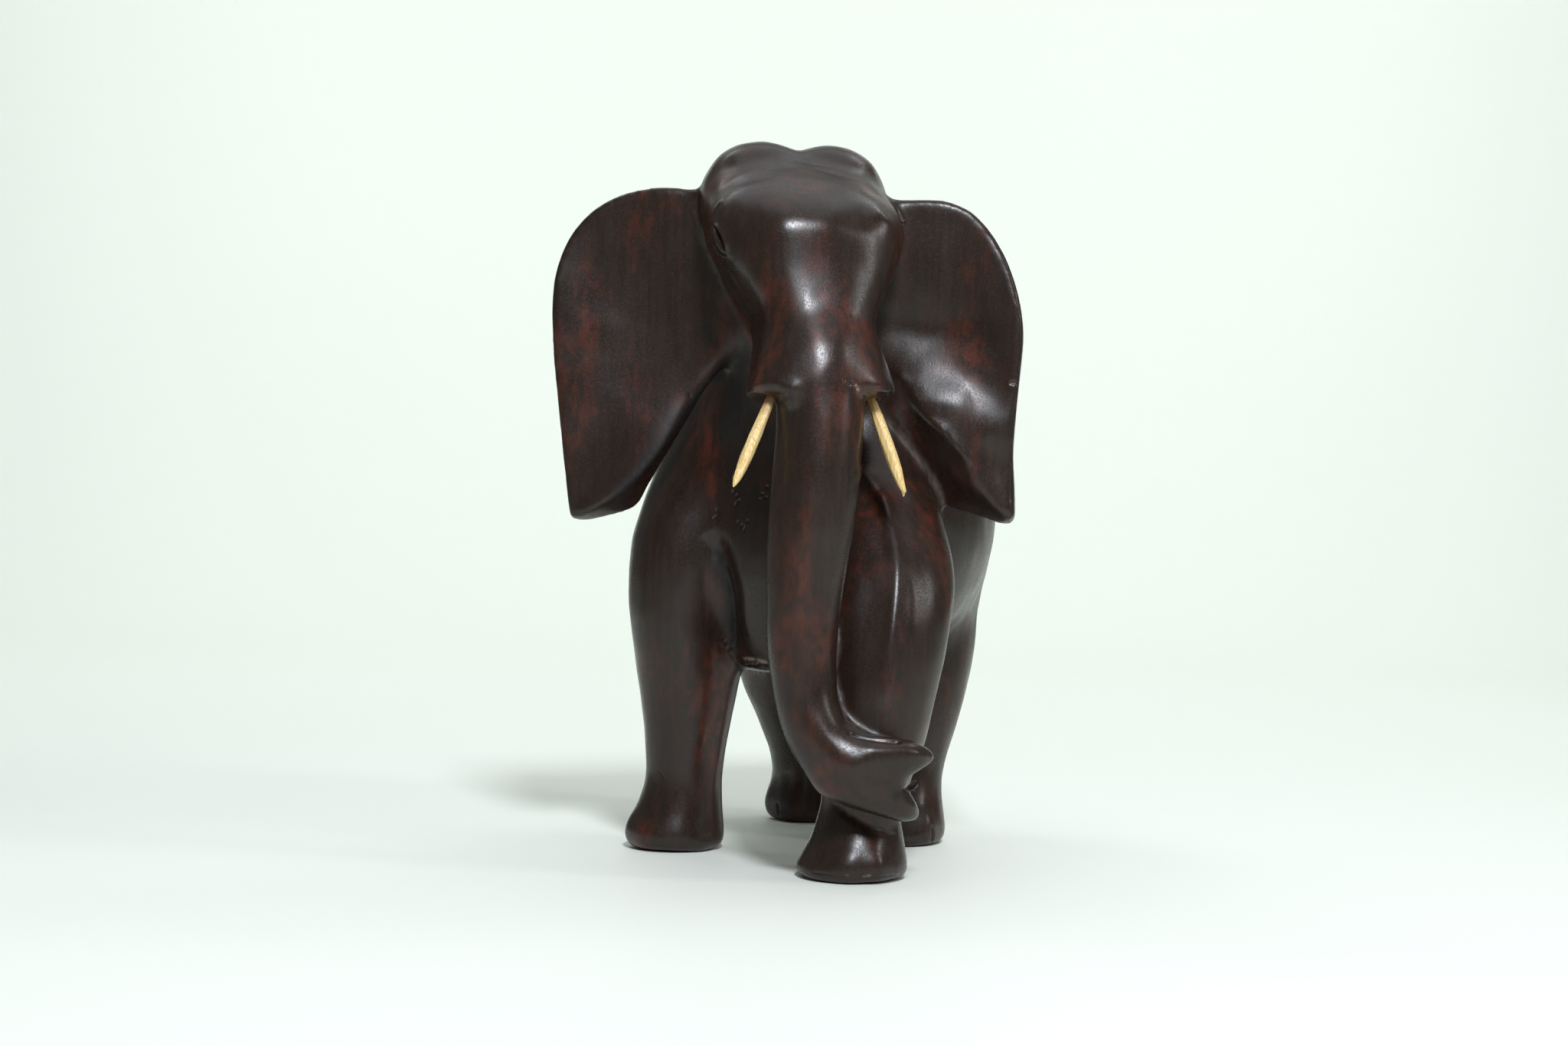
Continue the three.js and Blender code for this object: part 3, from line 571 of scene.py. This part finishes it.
def carve_details(carving):
    for _, pixels, width, rounds, fill in SOFT_PLACES:
        line = carving.seen_line(pixels)
        carving.stroke(line, width, fill)
        carving.soften(line, width, rounds)
    carving.write()
    eyes = eye_places(carving)
    broad = [(carving.seen_line(pixels), width, height) for _, pixels, width, height in BROAD_STROKES]
    for line, width, height in broad:
        carving.stroke(line, width, height, fade=1.2 * width)
    knife_marks = KNIFE_MARK_HEIGHT * undulation(carving.points, KNIFE_MARK_LENGTH, 3)
    carving.points += carving.normals * knife_marks[:, None]
    carving.write()

    fine = [(carving.seen_line(pixels), width, height) for _, pixels, width, height in FINE_STROKES]
    scratches = [carving.seen_line(pixels) for pixels in SCRATCHES]
    shaded_pits = [(carving.seen_at(x, y), radius, depth) for x, y, radius, depth in PITS]
    rough = [(carving.seen_at(*pixel)[0], radius, height) for pixel, radius, height in ROUGH_PLACES]
    places = [(eye[0], 15) for eye in eyes]
    places += [(place, 2.6 * width + 1) for line, width, _ in fine for place, _ in line]
    places += [(place, 2.2) for line in scratches for place, _ in line]
    places += [(found[0], 5) for found, _, _ in shaded_pits]
    places += [(place, radius + 3) for place, radius, _ in rough]
    refine(carving, places)
    places = [(eye[0], 12) for eye in eyes] + [(found[0], 2.6) for found, _, _ in shaded_pits]
    refine(carving, places + [(place, 1.8) for line in scratches for place, _ in line])

    for eye in eyes:
        carve_eye(carving, *eye)
    for line, width, height in fine:
        carving.stroke(line, width, height, fade=1.5 * width)
    for line in scratches:
        carving.stroke(line, SCRATCH_HALF_WIDTH, -SCRATCH_DEPTH, fade=3)
    rng = np.random.default_rng(6)
    for (place, normal), radius, depth in shaded_pits:
        gouge = [(place, normal), (place + rng.normal(size=3) * 0.9, normal)]
        carving.stroke(gouge, 1.1 * radius, -1.2 * depth)
        # painted shade: each pit is painted near black inside
        carving.rub(gouge, radius, "shaded_pits")
    for place, radius, height in rough:
        near = np.exp(-((carving.points - place) ** 2).sum(1) / (radius / 1.6) ** 2)
        carving.points += carving.normals * (near * height * undulation(carving.points, 3.2, 8))[:, None]
    carving.points[carving.points[:, 2] < SOLE, 2] = 0
    carving.write()


def paint_layers(carving):
    """Paint layers for the material: hollows, where wax and dust gather, worn places, and painted shade in
    the pits, the eye's socket and the unpolished places.
    """
    close = carving.points - carving.averaged(carving.points, 6)
    depth = -(close * carving.normals).sum(1)
    carving.paint("hollow", np.clip(depth / 0.3 - 0.15, 0, 1))
    for pixels, width in WORN_LINES:
        carving.rub(carving.seen_line(pixels), width, "worn")
    carving.paint("worn", carving.layers["worn"])
    carving.paint("shaded_pits", carving.layers["shaded_pits"])
    # painted shade: the unpolished places, also rougher, are painted near black
    for pixels, width in DULL_SHADED_PLACES:
        carving.rub(carving.seen_line(pixels), width, "dull_shaded")
    carving.paint("dull_shaded", carving.layers["dull_shaded"])


def dress_elephant():
    piece = carved_block()
    carving = Carving(piece)
    carve_details(carving)
    paint_layers(carving)
    finish_with(piece, "TRIANGULATE")
    share = MOST_TRIANGLES / len(piece.data.polygons)
    if share < 1:
        finish_with(piece, "DECIMATE", ratio=share)
    only(piece)
    bpy.ops.object.shade_smooth()
    piece.data.materials.clear()
    piece.data.materials.append(stained_hardwood())
    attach(piece, "root")
    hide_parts("elephant")
    return piece


# Tusks: sticks whittled with a knife, each pegged into the end of a cheek. Each ring is a share of the
# length from the root and a radius in millimetres.
TUSK_RADII = [
    (0.0, 2.5), (0.16, 2.7), (0.34, 3.1), (0.52, 3.5), (0.68, 3.4), (0.8, 2.9), (0.9, 2.1), (0.97, 1.2),
]
TUSK_SIDES = 8
CHIP_SHARE = 0.965  # of the length, where the chip crosses the middle
CHIP_FACES = (0.62, 0.2, 0.76)
WHITTLING = 0.16  # millimetres that the knife strays by


def ends_of(node):
    """The root and the tip of a tusk, as the middles of its solid's two ends."""
    flat = np.empty(len(node.data.vertices) * 3)
    node.data.vertices.foreach_get("co", flat)
    points = flat.reshape(-1, 3)
    middle = points.mean(0)
    along = np.linalg.svd(points - middle, full_matrices=False)[2][0]
    along *= -1 if along[2] > 0 else 1
    reach = (points - middle) @ along
    return middle + along * reach.min(), middle + along * reach.max()


def whittled_tusk(side, seed, chipped):
    node = frame["nodes"]["tusk_" + side]
    root, tip = ends_of(node)
    length = float(np.linalg.norm(tip - root))
    rng = np.random.default_rng(seed)
    bpy.ops.object.select_all(action="DESELECT")
    bpy.ops.mesh.primitive_circle_add(
        vertices=TUSK_SIDES, radius=TUSK_RADII[0][1] * MM, fill_type="NGON", location=(0, 0, 0))
    tusk = bpy.context.object
    tusk.name = "whittled_tusk_" + side
    bpy.ops.object.mode_set(mode="EDIT")
    bpy.ops.mesh.select_all(action="SELECT")
    for (start, before), (end, after) in zip(TUSK_RADII, TUSK_RADII[1:]):
        extrude(0, 0, (end - start) * length)
        bpy.ops.transform.resize(value=(after / before, after / before, 1))
    extrude(0, 0, 0.03 * length)
    bpy.ops.transform.resize(value=(0.3, 0.3, 1))
    bpy.ops.mesh.select_all(action="SELECT")
    bpy.ops.mesh.normals_make_consistent(inside=False)
    if chipped:
        bpy.ops.mesh.bisect(
            plane_co=(0, 0, CHIP_SHARE * length), plane_no=CHIP_FACES, use_fill=True, clear_outer=True)
    bpy.ops.object.mode_set(mode="OBJECT")
    for vertex in tusk.data.vertices:
        share = vertex.co.z / length
        if 0.1 < share < 0.95:
            slip = rng.normal(size=3) * WHITTLING * MM
            vertex.co.x += slip[0]
            vertex.co.y += slip[1]
            vertex.co.z += slip[2] * 12
    finish_with(tusk, "BEVEL", width=0.35 * MM, segments=2, limit_method="ANGLE",
                angle_limit=math.radians(12))
    finish_with(tusk, "TRIANGULATE")
    turn = Vector((0, 0, 1)).rotation_difference(Vector(tip - root)).to_matrix().to_4x4()
    tusk.data.transform(Matrix.Translation(Vector(root)) @ turn)
    bpy.ops.object.shade_smooth_by_angle(angle=math.radians(25))
    stain = tusk.data.attributes.new("root", "FLOAT", "POINT")
    away = np.array([(Vector(vertex.co) - Vector(root)).length / MM for vertex in tusk.data.vertices])
    stain.data.foreach_set("value", np.clip((14.5 - away) / 5.5, 0, 1).astype(np.float32))
    tusk.data.materials.append(PALE_WOOD)
    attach(tusk, "root")
    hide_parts("tusk_" + side)


dress_elephant()
PALE_WOOD = whittled_wood()
whittled_tusk("left", 5, chipped=True)
whittled_tusk("right", 11, chipped=False)


# Stage: a pale floor that bends up behind the elephant into a plain backdrop, and soft light
FLOOR_BEHIND_CAMERA = 3.5
WALL_AWAY = 3.0
WALL_HEIGHT = 2.6
BEND = 1.2
HALF_WIDTH = 1.55


def set_stage():
    profile = [(-FLOOR_BEHIND_CAMERA, 0.0)]
    for step in range(17):
        turn = math.radians(90 * step / 16)
        profile.append((WALL_AWAY - BEND + BEND * math.sin(turn), BEND - BEND * math.cos(turn)))
    profile.append((WALL_AWAY, WALL_HEIGHT))
    left = -ACROSS * HALF_WIDTH
    places = [tuple(left + HEADING * ahead + np.array([0, 0, height])) for ahead, height in profile]
    mesh = bpy.data.meshes.new("floor")
    mesh.from_pydata(places, [(i, i + 1) for i in range(len(places) - 1)], [])
    floor = bpy.data.objects.new("floor", mesh)
    bpy.context.scene.collection.objects.link(floor)
    only(floor)
    bpy.ops.object.mode_set(mode="EDIT")
    bpy.ops.mesh.select_mode(type="EDGE")
    bpy.ops.mesh.select_all(action="SELECT")
    extrude(*(-2 * left))
    bpy.ops.mesh.select_all(action="SELECT")
    bpy.ops.mesh.normals_make_consistent(inside=True)
    bpy.ops.object.mode_set(mode="OBJECT")
    bpy.ops.object.shade_smooth()
    material, tree = new_material("painted studio floor")
    shader = add(tree, "ShaderNodeBsdfPrincipled", {"Base Color": linear("#f1f5ec"), "Roughness": 0.6})
    add(tree, "ShaderNodeOutputMaterial", {"Surface": shader.outputs[0]})
    floor.data.materials.append(material)


def area_light(name, place, aim, size, power, colour):
    light = bpy.data.lights.new(name, "AREA")
    light.shape = "RECTANGLE"
    light.size, light.size_y = size
    light.energy = power
    light.color = linear(colour)[:3]
    holder = bpy.data.objects.new(name, light)
    bpy.context.scene.collection.objects.link(holder)
    place = Vector(place)
    holder.location = place
    holder.rotation_euler = (Vector(aim) - place).to_track_quat("-Z", "Y").to_euler()


def light_stage():
    world = bpy.data.worlds.new("studio")
    world.use_nodes = True
    background = world.node_tree.nodes["Background"]
    background.inputs[0].default_value = linear("#f4faf4")
    background.inputs[1].default_value = 0.16
    bpy.context.scene.world = world
    area_light("window", (0.9, -1.7, 1.85), (0, 0, 0.25), (0.34, 0.5), 54, "#f3f7ff")
    area_light("top", (-0.1, 0.3, 2.4), (0, 0, 0), (2.4, 2.4), 18, "#f4f8ff")
    area_light("side", (1.85, 0.0, 1.1), (0, 0, 0.2), (0.3, 0.8), 7, "#ffffff")
    area_light("backdrop left", (-1.67, 0.76, 2.3), (-2.27, 2.36, 0.5), (1.0, 1.0), 23.5, "#f7feff")
    area_light("backdrop right", (0.76, 1.67, 2.3), (0.17, 3.27, 0.5), (1.0, 1.0), 23.5, "#f7feff")
    bpy.context.scene.view_settings.view_transform = "Standard"


set_stage()
light_stage()
